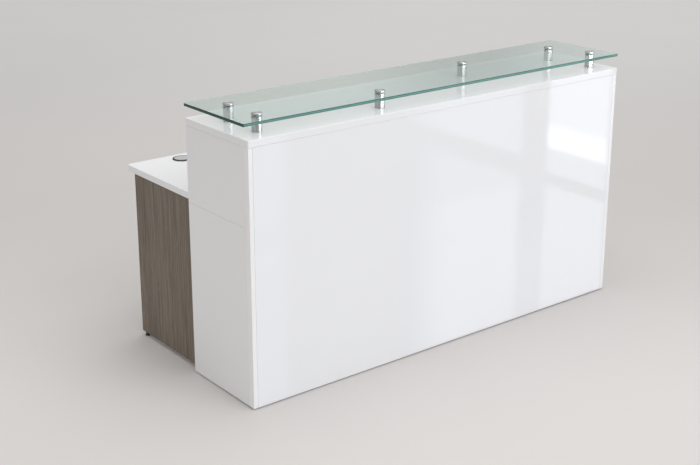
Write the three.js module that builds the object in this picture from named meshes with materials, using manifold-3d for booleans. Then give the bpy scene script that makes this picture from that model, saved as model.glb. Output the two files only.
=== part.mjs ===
// Reception desk: a tall white counter box on the public side, a glass shelf on six chrome standoffs
// over it, and a lower desk with wood-grain gables on the staff side.
// Millimetres, +Z up. The public side faces -Y, the staff side faces +Y, and the floor is at Z = 0.

import * as THREE from 'three';
import { mergeVertices } from 'three/addons/utils/BufferGeometryUtils.js';
import Module from 'manifold-3d';

const wasm = await Module();
wasm.setup();

// Counter box
const COUNTER_LENGTH = 2000;
const COUNTER_DEPTH = 430;
const COUNTER_HEIGHT = 1070; // floor to the counter's upper face
const COUNTER_THICKNESS = 28;
const COUNTER_OVERHANG = 2; // past the panels below, at the front and at both ends
const COUNTER_CORNER = 3; // corner radius left on the face, inside the eased edge
const PANEL_THICKNESS = 19;
const PANEL_FLOOR_GAP = 5;
const POST_RETURN = 28; // corner post's width on the end face
const DIVIDER_THICKNESS = 19;
const DIVIDER_SETBACK = 12; // behind the counter's staff edge

// Desk
const DESK_DEPTH = 955; // counter's front edge to the desktop's staff edge
const DESKTOP_HEIGHT = 758; // floor to the desktop's upper face
const DESKTOP_THICKNESS = 28;
const DESKTOP_CORNER = 12;
const GABLE_THICKNESS = 25;
const GABLE_SETBACK = 62; // behind the desktop's staff edge
const GABLE_FLOOR_GAP = 18;
const MODESTY_THICKNESS = 19;
const MODESTY_FLOOR_GAP = 120;

// Glass shelf
const GLASS_THICKNESS = 12;
const GLASS_LIFT = 50; // counter's upper face to the glass
const GLASS_OVERHANG = 10; // past the counter at both ends
const GLASS_SETBACK = 10; // inside the counter at the front and the back
const GLASS_CORNER = 4;
const GLASS_HOLE = 14;

// Standoffs
const STANDOFF_DIAMETER = 40;
const STANDOFF_LEFT_INSET = 105; // left pair, from the counter's left end
const STANDOFF_FRONT_RIGHT_INSET = 84; // from the counter's right end
const STANDOFF_BACK_RIGHT_INSET = 149;
const STANDOFF_MID_OFFSET = 310; // middle ones, from the counter's middle
const STANDOFF_FRONT_INSET = 95; // front row, from the counter's front edge
const STANDOFF_BACK_INSET = 145; // back row, from the counter's staff edge
const CAP_DIAMETER = 41.6;
const CAP_HEIGHT = 7;
const CAP_ROUNDING = 1.8;
const STUD_DIAMETER = 10;
const STUD_GRIP = 16; // stud's length inside the barrel
const GASKET_DIAMETER = 36;
const GASKET_THICKNESS = 1.2;
const SPIGOT_DIAMETER = 8;
const SPIGOT_LENGTH = 20; // barrel's screw-in foot, in the counter

// Levelling feet and their inserts
const FOOT_MARGIN = 0.5; // foot narrower than the gable's edge, each side
const FOOT_TAPER = 2.5;
const FOOT_FRONT_INSET = 60; // front foot, from the gable's front edge
const FOOT_MIDDLE_OFFSET = 20; // middle foot, behind the counter's staff edge
const FOOT_STAFF_INSET = 24; // back foot, from the gable's staff edge
const STEM_DIAMETER = 8;
const STEM_LENGTH = 24;
const INSERT_WALL = 2;
const INSERT_SPARE = 6; // insert's length past the stem
const INSERT_FLANGE_MARGIN = 3; // flange narrower than the gable's edge, each side
const INSERT_FLANGE_THICKNESS = 1.5;

// Cable outlets
const GROMMET_END_INSET = 225; // from the desktop's ends
const GROMMET_STAFF_INSET = 72; // from the desktop's staff edge
const GROMMET_FLANGE_DIAMETER = 80;
const GROMMET_FLANGE_THICKNESS = 4.5;
const GROMMET_HOLE = 71;
const GROMMET_SLEEVE_DEPTH = 20; // below the desktop's upper face
const GROMMET_BORE = 62;
const GROMMET_CAP_DIAMETER = 66;
const GROMMET_CAP_THICKNESS = 4;
const CABLE_NOTCH_RADIUS = 8;

// Angle brackets
const BRACKET_LEG = 40;
const BRACKET_WIDTH = 60;
const BRACKET_GAUGE = 2.5;
const BRACKET_ROUNDING = 4;
const BRACKET_HOLE = 5.5;
const BRACKET_HOLE_PITCH = 32;
const BRACKET_INSET = 130; // from the gable's two upright edges

// Clearance between pieces, and the eased edges of boards, glass and turned metal
const FIT = 0.3;
const BOARD_EASE = 1.2;
const BOARD_CORNER = 0.8; // corner radius left on a board's face, inside the eased edge
const GLASS_EASE = 1;
const TURNED_EASE = 0.8;

// Facets of round pieces
const TURNED_SIDES = 24;
const SMALL_SIDES = 14;
const TINY_SIDES = 10;
const CORNER_STEPS = 4; // half of the facets in a round corner that shows
const EASED_STEPS = 1; // the same for a corner that is only eased
const OVERCUT = 2; // how far a cutter reaches past the face that it opens

// Levels and planes that several pieces share. Y counts from the counter's front edge here.
const counterUnder = COUNTER_HEIGHT - COUNTER_THICKNESS;
const desktopUnder = DESKTOP_HEIGHT - DESKTOP_THICKNESS;
const panelOuter = COUNTER_LENGTH / 2 - COUNTER_OVERHANG;
const panelInner = panelOuter - PANEL_THICKNESS;
const boxFront = COUNTER_OVERHANG;
const boxBack = boxFront + PANEL_THICKNESS;
const endPanelFront = boxFront + POST_RETURN + FIT;
const deskFront = boxBack + FIT;
const gableOuter = panelInner - FIT;
const gableInner = gableOuter - GABLE_THICKNESS;
const gableMiddle = (gableOuter + gableInner) / 2;
const gableStaff = DESK_DEPTH - GABLE_SETBACK;
const glassUnder = COUNTER_HEIGHT + GLASS_LIFT;
const glassOver = glassUnder + GLASS_THICKNESS;
const barrelHeight = GLASS_LIFT - GASKET_THICKNESS - 3 * FIT;
const SIDES = { left: -1, right: 1 };

// Finishes
const finish = {
  whiteGloss: { color: 0xf1f2f4, roughness: 0.12, metalness: 0 },
  whiteSatin: { color: 0xecebe8, roughness: 0.35, metalness: 0 },
  woodGrain: { color: 0x6e645a, roughness: 0.55, metalness: 0 },
  glass: { color: 0xb9d2c8, roughness: 0.04, metalness: 0, transparent: true, opacity: 0.45 },
  chrome: { color: 0xc8cbce, roughness: 0.1, metalness: 1 },
  clearRubber: { color: 0xc9cfcc, roughness: 0.5, metalness: 0 },
  blackPlastic: { color: 0x161616, roughness: 0.5, metalness: 0 },
  greyPlastic: { color: 0xa9aba9, roughness: 0.4, metalness: 0 },
  zincSteel: { color: 0xa7aaad, roughness: 0.35, metalness: 1 },
};

const desk = new THREE.Group();
desk.position.y = -DESK_DEPTH / 2;

function addPiece(name, geometry, finishName, x = 0, y = 0, z = 0) {
  const mesh = new THREE.Mesh(geometry, new THREE.MeshStandardMaterial(finish[finishName]));
  mesh.name = name;
  mesh.position.set(x, y, z);
  desk.add(mesh);
}

// A closed geometry as a solid that can be joined and cut
function solidOf(geometry) {
  const bare = geometry.clone();
  bare.deleteAttribute('normal');
  bare.deleteAttribute('uv');
  const welded = mergeVertices(bare);
  const corners = welded.index.array;
  const triangles = [];
  for (let i = 0; i < corners.length; i += 3) {
    const [a, b, c] = corners.slice(i, i + 3);
    if (a !== b && b !== c && c !== a) triangles.push(a, b, c);
  }
  const vertProperties = welded.attributes.position.array;
  return new wasm.Manifold(new wasm.Mesh({
    numProp: 3,
    vertProperties,
    triVerts: Uint32Array.from(triangles),
  }));
}

function geometryOf(solid) {
  const mesh = solid.getMesh();
  const geometry = new THREE.BufferGeometry();
  geometry.setAttribute('position', new THREE.BufferAttribute(mesh.vertProperties, 3));
  geometry.setIndex(new THREE.BufferAttribute(mesh.triVerts, 1));
  geometry.computeVertexNormals();
  return geometry;
}

function cut(geometry, cutters) {
  const body = cutters.reduce((left, cutter) => left.subtract(solidOf(cutter)), solidOf(geometry));
  return geometryOf(body);
}

// A rectangle with round corners, about the origin
function roundedRectangle(width, height, radius) {
  const shape = new THREE.Shape();
  const x = width / 2 - radius;
  const y = height / 2 - radius;
  shape.absarc(x, -y, radius, -Math.PI / 2, 0);
  shape.absarc(x, y, radius, 0, Math.PI / 2);
  shape.absarc(-x, y, radius, Math.PI / 2, Math.PI);
  shape.absarc(-x, -y, radius, Math.PI, 1.5 * Math.PI);
  return shape;
}

// A flat plate with eased edges, its thickness along Z and its middle at the origin
function plate(shape, thickness, ease, curveSegments) {
  const geometry = new THREE.ExtrudeGeometry(shape, {
    depth: thickness - 2 * ease,
    bevelEnabled: ease > 0,
    bevelThickness: ease,
    bevelSize: ease,
    bevelOffset: -ease,
    bevelSegments: 1,
    curveSegments,
  });
  return geometry.translate(0, 0, ease - thickness / 2);
}

// How a plate is turned so that its face looks up, to the public side, or to an end
const turnToFace = {
  up: (geometry) => geometry,
  front: (geometry) => geometry.rotateX(Math.PI / 2),
  end: (geometry) => geometry.rotateX(Math.PI / 2).rotateZ(Math.PI / 2),
};
const faceAxes = { up: [0, 1, 2], front: [0, 2, 1], end: [1, 2, 0] };

// A board that fills the box from low to high, given as [x, y, z]. Cutters are placed as in the desk.
function addBoard(name, finishName, face, low, high, options = {}) {
  const { corner = BOARD_CORNER, steps = EASED_STEPS, cutters = [] } = options;
  const size = low.map((value, axis) => high[axis] - value);
  const middle = low.map((value, axis) => (high[axis] + value) / 2);
  const [across, along, thick] = faceAxes[face];
  const outline = roundedRectangle(size[across], size[along], corner + BOARD_EASE);
  let geometry = turnToFace[face](plate(outline, size[thick], BOARD_EASE, steps));
  if (cutters.length > 0) {
    const moved = cutters.map((cutter) => cutter.translate(...middle.map((value) => -value)));
    geometry = cut(geometry, moved);
  }
  addPiece(name, geometry, finishName, ...middle);
}

// A turned piece about Z. The profile lists [radius, height] upwards along the outside.
function turned(profile, sides = TURNED_SIDES) {
  const points = profile.map(([radius, height]) => new THREE.Vector2(radius, height));
  return new THREE.LatheGeometry(points, sides).rotateX(Math.PI / 2);
}

// A round cutter that stands on a level and reaches up from it
function drill(diameter, x, y, bottom, top, sides = SMALL_SIDES) {
  const height = top - bottom;
  return new THREE.CylinderGeometry(diameter / 2, diameter / 2, height, sides)
    .rotateX(Math.PI / 2)
    .translate(x, y, bottom + height / 2);
}

// The low and high X of a piece that lies between two distances from the middle, on one side
function spanX(side, inner, outer) {
  return side < 0 ? [-outer, -inner] : [inner, outer];
}

// Where the standoffs stand: a pair at each end, and one more in each row, staggered
const counterEnd = COUNTER_LENGTH / 2;
const frontRow = STANDOFF_FRONT_INSET;
const backRow = COUNTER_DEPTH - STANDOFF_BACK_INSET;
const standoffs = {
  front_left: [STANDOFF_LEFT_INSET - counterEnd, frontRow],
  front_middle: [-STANDOFF_MID_OFFSET, frontRow],
  front_right: [counterEnd - STANDOFF_FRONT_RIGHT_INSET, frontRow],
  back_left: [STANDOFF_LEFT_INSET - counterEnd, backRow],
  back_middle: [STANDOFF_MID_OFFSET, backRow],
  back_right: [counterEnd - STANDOFF_BACK_RIGHT_INSET, backRow],
};

function addCounterBox() {
  const spigotHoles = Object.values(standoffs).map(([x, y]) => drill(
    SPIGOT_DIAMETER + 2 * FIT,
    x,
    y,
    COUNTER_HEIGHT - SPIGOT_LENGTH - FIT,
    COUNTER_HEIGHT + OVERCUT,
  ));
  addBoard(
    'counter_top',
    'whiteGloss',
    'up',
    [-COUNTER_LENGTH / 2, 0, counterUnder],
    [COUNTER_LENGTH / 2, COUNTER_DEPTH, COUNTER_HEIGHT],
    { corner: COUNTER_CORNER, steps: CORNER_STEPS, cutters: spigotHoles },
  );
  const uprightTop = counterUnder - FIT;
  addBoard(
    'front_panel',
    'whiteGloss',
    'front',
    [-panelInner + FIT, boxFront, PANEL_FLOOR_GAP],
    [panelInner - FIT, boxBack, uprightTop],
  );
  addBoard(
    'counter_divider',
    'whiteSatin',
    'end',
    [-DIVIDER_THICKNESS / 2, deskFront, DESKTOP_HEIGHT + FIT],
    [DIVIDER_THICKNESS / 2, COUNTER_DEPTH - DIVIDER_SETBACK, uprightTop],
  );
  for (const [sideName, side] of Object.entries(SIDES)) {
    const [x0, x1] = spanX(side, panelInner, panelOuter);
    addBoard(
      `${sideName}_corner_post`,
      'whiteSatin',
      'end',
      [x0, boxFront, PANEL_FLOOR_GAP],
      [x1, boxFront + POST_RETURN, uprightTop],
    );
    addBoard(
      `${sideName}_end_panel_lower`,
      'whiteGloss',
      'end',
      [x0, endPanelFront, PANEL_FLOOR_GAP],
      [x1, COUNTER_DEPTH, desktopUnder - FIT],
    );
    addBoard(
      `${sideName}_end_panel_upper`,
      'whiteGloss',
      'end',
      [x0, endPanelFront, desktopUnder],
      [x1, COUNTER_DEPTH, uprightTop],
    );
  }
}

// The feet of one gable, by their distance from the counter's front edge
const footPlaces = {
  front: deskFront + FOOT_FRONT_INSET,
  middle: COUNTER_DEPTH + FOOT_MIDDLE_OFFSET,
  back: gableStaff - FOOT_STAFF_INSET,
};
const stemBore = STEM_DIAMETER + 2 * FIT;
const insertDiameter = stemBore + 2 * INSERT_WALL;
const insertFlangeDiameter = GABLE_THICKNESS - 2 * INSERT_FLANGE_MARGIN;
const insertLength = STEM_LENGTH + INSERT_SPARE;

function addFoot(name, x, y) {
  const padRadius = GABLE_THICKNESS / 2 - FOOT_MARGIN;
  const padTop = GABLE_FLOOR_GAP - FIT;
  const stemRadius = STEM_DIAMETER / 2;
  addPiece(`${name}_foot`, turned([
    [0, 0],
    [padRadius - TURNED_EASE, 0],
    [padRadius, TURNED_EASE],
    [padRadius - FOOT_TAPER, padTop],
    [stemRadius, padTop],
    [stemRadius, padTop + STEM_LENGTH - TURNED_EASE],
    [stemRadius - TURNED_EASE, padTop + STEM_LENGTH],
    [0, padTop + STEM_LENGTH],
  ], SMALL_SIDES), 'blackPlastic', x, y);
  addPiece(`${name}_foot_insert`, turned([
    [stemBore / 2, 0],
    [insertFlangeDiameter / 2, 0],
    [insertFlangeDiameter / 2, INSERT_FLANGE_THICKNESS],
    [insertDiameter / 2, INSERT_FLANGE_THICKNESS],
    [insertDiameter / 2, insertLength],
    [stemBore / 2, insertLength],
    [stemBore / 2, 0],
  ], SMALL_SIDES), 'zincSteel', x, y, GABLE_FLOOR_GAP);
}

function addGables() {
  for (const [sideName, side] of Object.entries(SIDES)) {
    const x = side * gableMiddle;
    const insertHoles = Object.values(footPlaces).flatMap((y) => [
      drill(
        insertDiameter + 2 * FIT,
        x,
        y,
        GABLE_FLOOR_GAP - OVERCUT,
        GABLE_FLOOR_GAP + insertLength + FIT,
      ),
      drill(
        insertFlangeDiameter + 2 * FIT,
        x,
        y,
        GABLE_FLOOR_GAP - OVERCUT,
        GABLE_FLOOR_GAP + INSERT_FLANGE_THICKNESS + FIT,
      ),
    ]);
    const [x0, x1] = spanX(side, gableInner, gableOuter);
    addBoard(
      `${sideName}_gable`,
      'woodGrain',
      'end',
      [x0, deskFront, GABLE_FLOOR_GAP],
      [x1, gableStaff, desktopUnder - FIT],
      { cutters: insertHoles },
    );
    for (const [place, y] of Object.entries(footPlaces)) {
      addFoot(`${sideName}_${place}`, x, y);
    }
  }
}

const grommetX = gableOuter - GROMMET_END_INSET;
const grommetY = DESK_DEPTH - GROMMET_STAFF_INSET;

// A liner is a sleeve with a flange, and a ledge inside it that carries the cap.
function addGrommet(sideName, side) {
  const flange = GROMMET_FLANGE_DIAMETER / 2;
  const sleeve = GROMMET_HOLE / 2 - FIT;
  const bore = GROMMET_BORE / 2;
  const seat = GROMMET_CAP_DIAMETER / 2 + FIT;
  const top = FIT + GROMMET_FLANGE_THICKNESS;
  const ledge = top - GROMMET_CAP_THICKNESS - FIT;
  addPiece(`${sideName}_grommet_liner`, turned([
    [bore, -GROMMET_SLEEVE_DEPTH],
    [sleeve, -GROMMET_SLEEVE_DEPTH],
    [sleeve, FIT],
    [flange, FIT],
    [flange, top - TURNED_EASE],
    [flange - TURNED_EASE, top],
    [seat, top],
    [seat, ledge],
    [bore, ledge],
    [bore, -GROMMET_SLEEVE_DEPTH],
  ], TURNED_SIDES), 'blackPlastic', side * grommetX, grommetY, DESKTOP_HEIGHT);

  const radius = GROMMET_CAP_DIAMETER / 2;
  const notch = drill(
    2 * CABLE_NOTCH_RADIUS,
    -side * radius,
    0,
    -OVERCUT,
    GROMMET_CAP_THICKNESS + OVERCUT,
  );
  const disc = turned([
    [0, 0],
    [radius, 0],
    [radius, GROMMET_CAP_THICKNESS - TURNED_EASE],
    [radius - TURNED_EASE, GROMMET_CAP_THICKNESS],
    [0, GROMMET_CAP_THICKNESS],
  ]);
  addPiece(
    `${sideName}_grommet_cap`,
    cut(disc, [notch]),
    'greyPlastic',
    side * grommetX,
    grommetY,
    DESKTOP_HEIGHT + ledge + FIT,
  );
}

function addDesk() {
  const grommetHoles = Object.values(SIDES).map((side) => drill(
    GROMMET_HOLE,
    side * grommetX,
    grommetY,
    desktopUnder - OVERCUT,
    DESKTOP_HEIGHT + OVERCUT,
    TURNED_SIDES,
  ));
  addBoard(
    'desktop',
    'whiteGloss',
    'up',
    [-gableOuter, deskFront, desktopUnder],
    [gableOuter, DESK_DEPTH, DESKTOP_HEIGHT],
    { corner: DESKTOP_CORNER, steps: CORNER_STEPS, cutters: grommetHoles },
  );
  addBoard(
    'modesty_panel',
    'woodGrain',
    'front',
    [-gableInner + FIT, COUNTER_DEPTH - MODESTY_THICKNESS, MODESTY_FLOOR_GAP],
    [gableInner - FIT, COUNTER_DEPTH, desktopUnder - FIT],
  );
  for (const [sideName, side] of Object.entries(SIDES)) addGrommet(sideName, side);
}

// An angle bracket in the corner under a board and beside an upright, its bend at the origin
function bracket(side) {
  const inner = BRACKET_ROUNDING;
  const outer = BRACKET_ROUNDING + BRACKET_GAUGE;
  const angle = new THREE.Shape();
  angle.moveTo(0, -BRACKET_LEG);
  angle.lineTo(BRACKET_GAUGE, -BRACKET_LEG);
  angle.lineTo(BRACKET_GAUGE, -outer);
  angle.absarc(outer, -outer, inner, Math.PI, Math.PI / 2, true);
  angle.lineTo(BRACKET_LEG, -BRACKET_GAUGE);
  angle.lineTo(BRACKET_LEG, 0);
  angle.lineTo(outer, 0);
  angle.absarc(outer, -outer, outer, Math.PI / 2, Math.PI);
  const leaf = plate(angle, BRACKET_WIDTH, 0, CORNER_STEPS).rotateX(Math.PI / 2);
  const reach = (BRACKET_LEG + outer) / 2;
  const holes = [-1, 1].flatMap((end) => {
    const y = end * BRACKET_HOLE_PITCH / 2;
    const upright = drill(BRACKET_HOLE, 0, 0, -OVERCUT, BRACKET_GAUGE + OVERCUT, TINY_SIDES)
      .rotateY(Math.PI / 2)
      .translate(0, y, -reach);
    const level = drill(BRACKET_HOLE, reach, y, -BRACKET_GAUGE - OVERCUT, OVERCUT, TINY_SIDES);
    return [level, upright];
  });
  const right = cut(leaf, holes);
  return side < 0 ? right : right.rotateZ(Math.PI);
}

function addBrackets() {
  for (const [sideName, side] of Object.entries(SIDES)) {
    const places = {
      front_desktop: [gableInner, deskFront + BRACKET_INSET, desktopUnder],
      back_desktop: [gableInner, gableStaff - BRACKET_INSET, desktopUnder],
      counter: [panelInner, (endPanelFront + COUNTER_DEPTH) / 2, counterUnder],
    };
    for (const [place, [x, y, z]] of Object.entries(places)) {
      addPiece(
        `${sideName}_${place}_bracket`,
        bracket(side),
        'zincSteel',
        side * (x - FIT),
        y,
        z - FIT,
      );
    }
  }
}

function addGlassShelf() {
  const glassLength = COUNTER_LENGTH + 2 * GLASS_OVERHANG;
  const glassDepth = COUNTER_DEPTH - 2 * GLASS_SETBACK;
  const outline = roundedRectangle(glassLength, glassDepth, GLASS_CORNER + GLASS_EASE);
  for (const [x, y] of Object.values(standoffs)) {
    const hole = new THREE.Path();
    hole.absarc(x, y - COUNTER_DEPTH / 2, GLASS_HOLE / 2, 0, 2 * Math.PI, true);
    outline.holes.push(hole);
  }
  const glass = plate(outline, GLASS_THICKNESS, GLASS_EASE, Math.ceil(SMALL_SIDES / 2));
  addPiece('glass_top', glass, 'glass', 0, COUNTER_DEPTH / 2, (glassUnder + glassOver) / 2);
}

// A barrel screws into the counter by its spigot and takes the cap's stud in a blind bore.
function barrel() {
  const radius = STANDOFF_DIAMETER / 2;
  const bore = STUD_DIAMETER / 2 + FIT;
  const boreBottom = barrelHeight + FIT - STUD_GRIP;
  const spigot = SPIGOT_DIAMETER / 2;
  return turned([
    [0, -SPIGOT_LENGTH],
    [spigot, -SPIGOT_LENGTH],
    [spigot, FIT],
    [radius - TURNED_EASE, FIT],
    [radius, FIT + TURNED_EASE],
    [radius, FIT + barrelHeight - TURNED_EASE],
    [radius - TURNED_EASE, FIT + barrelHeight],
    [bore, FIT + barrelHeight],
    [bore, boreBottom],
    [0, boreBottom],
  ]);
}

// A ring that lies between metal and glass
function gasket() {
  const bore = GLASS_HOLE / 2;
  return turned([
    [bore, 0],
    [GASKET_DIAMETER / 2, 0],
    [GASKET_DIAMETER / 2, GASKET_THICKNESS],
    [bore, GASKET_THICKNESS],
    [bore, 0],
  ], SMALL_SIDES);
}

// A cap with its stud below, its underside at the origin
function cap() {
  const radius = CAP_DIAMETER / 2;
  const stud = STUD_DIAMETER / 2;
  const throughGlass = GLASS_THICKNESS + 2 * GASKET_THICKNESS + 4 * FIT;
  const studEnd = throughGlass + STUD_GRIP - 2 * FIT;
  const shoulder = radius - CAP_ROUNDING;
  return turned([
    [0, -studEnd],
    [stud - TURNED_EASE, -studEnd],
    [stud, TURNED_EASE - studEnd],
    [stud, 0],
    [radius - TURNED_EASE, 0],
    [radius, TURNED_EASE],
    [radius, CAP_HEIGHT - CAP_ROUNDING],
    [shoulder + CAP_ROUNDING * Math.SQRT1_2, CAP_HEIGHT - CAP_ROUNDING * (1 - Math.SQRT1_2)],
    [shoulder, CAP_HEIGHT],
    [0, CAP_HEIGHT],
  ]);
}

function addStandoffs() {
  const gasketUnder = glassUnder - FIT - GASKET_THICKNESS;
  const gasketOver = glassOver + FIT;
  const capSeat = gasketOver + GASKET_THICKNESS + FIT;
  for (const [place, [x, y]] of Object.entries(standoffs)) {
    addPiece(`${place}_standoff_barrel`, barrel(), 'chrome', x, y, COUNTER_HEIGHT);
    addPiece(`${place}_standoff_lower_gasket`, gasket(), 'clearRubber', x, y, gasketUnder);
    addPiece(`${place}_standoff_upper_gasket`, gasket(), 'clearRubber', x, y, gasketOver);
    addPiece(`${place}_standoff_cap`, cap(), 'chrome', x, y, capSeat);
  }
}

addCounterBox();
addGables();
addDesk();
addBrackets();
addGlassShelf();
addStandoffs();

const receptionDesk = new THREE.Group();
receptionDesk.add(desk);

export default receptionDesk;
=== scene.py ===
"""Finishes, turned metal and fittings for a reception desk, and the studio that it stands in."""

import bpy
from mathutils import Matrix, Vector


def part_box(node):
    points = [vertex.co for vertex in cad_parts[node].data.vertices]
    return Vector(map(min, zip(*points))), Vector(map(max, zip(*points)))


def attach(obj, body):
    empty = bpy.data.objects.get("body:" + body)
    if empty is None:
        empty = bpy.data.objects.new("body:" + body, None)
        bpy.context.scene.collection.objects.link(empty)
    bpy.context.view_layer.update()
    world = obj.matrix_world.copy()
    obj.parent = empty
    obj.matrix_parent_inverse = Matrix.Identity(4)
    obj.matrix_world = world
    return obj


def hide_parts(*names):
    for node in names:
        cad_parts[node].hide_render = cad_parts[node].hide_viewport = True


bl_info = {
    "name": "Reception desk finishes",
    "version": (1, 0, 0),
    "blender": (4, 5, 0),
    "location": "3D View > Sidebar > Desk",
    "description": "Dresses the solids of a reception desk and sets up a plain studio around it",
    "category": "Object",
}

import math

import bmesh
import bpy
from bpy.props import FloatProperty, FloatVectorProperty, IntProperty, PointerProperty
from mathutils import Euler, Matrix, Vector

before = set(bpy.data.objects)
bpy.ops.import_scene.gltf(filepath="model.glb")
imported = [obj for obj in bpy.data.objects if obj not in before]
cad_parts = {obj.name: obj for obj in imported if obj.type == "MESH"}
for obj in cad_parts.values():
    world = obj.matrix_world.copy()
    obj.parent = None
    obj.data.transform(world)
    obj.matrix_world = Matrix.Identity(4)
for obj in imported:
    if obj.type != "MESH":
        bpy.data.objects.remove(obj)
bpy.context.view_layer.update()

MM = 0.001
SIDES = {"left": -1, "right": 1}
FOOT_PLACES = ("front", "middle", "back")
STANDOFF_PLACES = (
    "front_left", "front_middle", "front_right", "back_left", "back_middle", "back_right",
)
WHITE_BOARDS = (
    "counter_top", "front_panel", "desktop", "left_end_panel_lower", "left_end_panel_upper",
    "right_end_panel_lower", "right_end_panel_upper",
)
SATIN_BOARDS = ("left_corner_post", "right_corner_post", "counter_divider")
DESK_BODY = "desk"

FINE = 0.2 * MM  # rounding of the smallest turned edges
AWAY = (0.615, 0.789)  # direction on the floor that leads away from the camera

# Bright panes that only gloss shows, in metres: near side, far side and sill of each
WINDOW_WALL = 2.0
WINDOW_TOP = 1.5
WINDOW_PANES = ((-1.33, -1.785, 0.08), (-2.0, -3.1, 0.14), (-4.49, -5.2, 0.14))
WINDOW_SHEETS = ((-1.33, -3.1), (-4.49, -5.2))  # near and far side of their light on the floor
SHEET_END = -0.49  # where that light stops, just short of the front panel
SHEET_LEVEL = 0.004
PANE_GLOW, SHEET_GLOW = 1.7, 1.42  # brightness of the panes and of their light on the floor
ROOM_GLOW, FLOOR_GLOW = 1.03, 0.6  # brightness around the panes and on the bare floor
MIRRORED_EYE = Vector((-3.4014, 3.152))  # the camera's place, mirrored in the front panel


def colour(name, description, red, green, blue):
    """A colour that a user may change, in linear light."""
    return FloatVectorProperty(
        name=name, description=description, subtype="COLOR", size=3, min=0, max=1,
        default=(red, green, blue),
    )


def length(name, description, metres):
    """A length that a user may change."""
    return FloatProperty(name=name, description=description, unit="LENGTH", default=metres)


def amount(name, description, value):
    """A plain number that a user may change."""
    return FloatProperty(name=name, description=description, default=value)


class DeskFinishes(bpy.types.PropertyGroup):
    """Colours of the boards, the glass and the fittings."""

    white: colour("White gloss", "Face of the white boards", 0.837, 0.844, 0.856)
    satin: colour("White satin", "Corner posts and divider", 0.88, 0.88, 0.88)
    wood_light: colour("Wood, light", "Pale streaks of the wood grain", 0.25, 0.203, 0.16)
    wood_dark: colour("Wood, dark", "Dark streaks of the wood grain", 0.084, 0.066, 0.05)
    glass: colour("Glass", "What a long way through the glass lets pass", 0.16, 0.68, 0.55)
    # The edge colours below are painted light and shade on the glass's green: a painted glow in
    # each edge's heart, a painted glint on the arris, and a painted look of an edge seen through
    # the glass.
    glass_edge: colour("Glass edge", "Heart of the glass's long edges", 0.115, 0.36, 0.29)
    glass_end: colour("Glass end", "Heart of the glass's short edges", 0.06, 0.15, 0.13)
    glass_arris_glint: colour("Glass arris", "Eased lower rim of an edge", 0.58, 0.8, 0.74)
    glass_within: colour("Edge within", "A long edge seen through the glass", 0.58, 0.65, 0.63)
    glass_end_within: colour("End within", "A short edge seen through it", 0.86, 0.93, 0.91)
    glass_face: colour("Glass face", "Tint of the glass's faces", 0.835, 0.925, 0.91)
    glass_light: colour("Light through", "Light let down to the counter", 0.875, 0.873, 0.868)
    metal: colour("Bright metal", "Standoff barrels and caps", 0.5, 0.505, 0.51)
    rubber: colour("Clear rubber", "Rings between metal and glass", 0.62, 0.66, 0.64)
    black: colour("Black plastic", "Feet and outlet liners", 0.016, 0.016, 0.017)
    grey: colour("Grey plastic", "Outlet caps", 0.47, 0.475, 0.47)
    zinc: colour("Zinc", "Brackets, inserts and screws", 0.6, 0.615, 0.63)


class DeskFittings(bpy.types.PropertyGroup):
    """Sizes of the turned and pressed fittings."""

    sides: IntProperty(name="Turned sides", description="Facets round a turned piece", default=96)
    small_sides: IntProperty(name="Small sides", description="Facets round a foot", default=48)
    ease: length("Eased edge", "Rounding of turned edges", 0.8 * MM)
    cap_rounding: length("Cap rounding", "Rounding of a standoff cap's upper rim", 1.8 * MM)
    cap_thickness: length("Cap thickness", "Thickness of a standoff cap", 7 * MM)
    fit_gap: length("Fit gap", "Gap between pieces that fit together", 0.3 * MM)
    stud: length("Stud", "Radius of a cap's stud", 5 * MM)
    stud_grip: length("Stud grip", "Depth of the bore that takes a stud", 16 * MM)
    spigot: length("Spigot", "Radius of a barrel's screw-in foot", 4 * MM)
    ring_bore: length("Ring bore", "Radius of the hole in a rubber ring", 7 * MM)
    foot_pad: length("Foot pad", "Height of a foot's pad", 17.7 * MM)
    stem: length("Stem", "Radius of a foot's stem", 4 * MM)
    pitch: length("Thread pitch", "Distance between the turns of a stem's thread", 1.25 * MM)
    thread: length("Thread depth", "Depth of a stem's thread", 0.55 * MM)
    gauge: length("Bracket gauge", "Thickness of an angle bracket", 2.5 * MM)
    hole_pitch: length("Hole pitch", "Distance between a bracket's two rows of holes", 32 * MM)
    hole_reach: length("Hole reach", "Distance of the holes from the bracket's bend", 23.25 * MM)
    screw: length("Screw head", "Radius of a screw's head", 4.6 * MM)
    outlet_cap: length("Outlet cap", "Radius of a cable outlet's cap", 33 * MM)
    outlet_bore: length("Outlet bore", "Radius of the way through an outlet", 31 * MM)
    outlet_sleeve: length("Outlet sleeve", "Outer radius of an outlet's sleeve", 35 * MM)
    outlet_ledge: length("Outlet ledge", "Depth of the ledge under an outlet's cap", 4.3 * MM)
    notch: length("Cable notch", "Radius of the notch in an outlet's cap", 8 * MM)


class DeskStage(bpy.types.PropertyGroup):
    """The floor, the lamps and the camera."""

    floor: colour("Floor", "Pale floor", 0.685, 0.656, 0.638)
    sky: amount("Room light", "Light that comes from all round", 0.77)
    sky_lean: amount("Room lean", "How much lighter the room is on the visitors' side", 0.3)
    key: amount("Key lamp", "Power of the large lamp in front, in watts", 60)
    top: amount("Top lamp", "Power of the large lamp overhead, in watts", 74)
    stripe: amount("Stripe", "Brightness of the sheet that the metal mirrors", 8.5)
    lens: FloatProperty(name="Lens", description="Camera lens", unit="CAMERA", default=64.796)
    place: FloatVectorProperty(
        name="Camera place", description="Where the camera stands", subtype="TRANSLATION",
        default=(-3.4014, -4.1033, 2.2705),
    )
    turn: FloatVectorProperty(
        name="Camera turn", description="How the camera is turned", subtype="EULER",
        default=(math.radians(90 - 17.56), math.radians(0.07), math.radians(-37.93)),
    )
    shift: FloatVectorProperty(
        name="Camera shift", description="Sideways and upward shift of the picture", size=2,
        default=(0.0130, -0.0650),
    )


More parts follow.
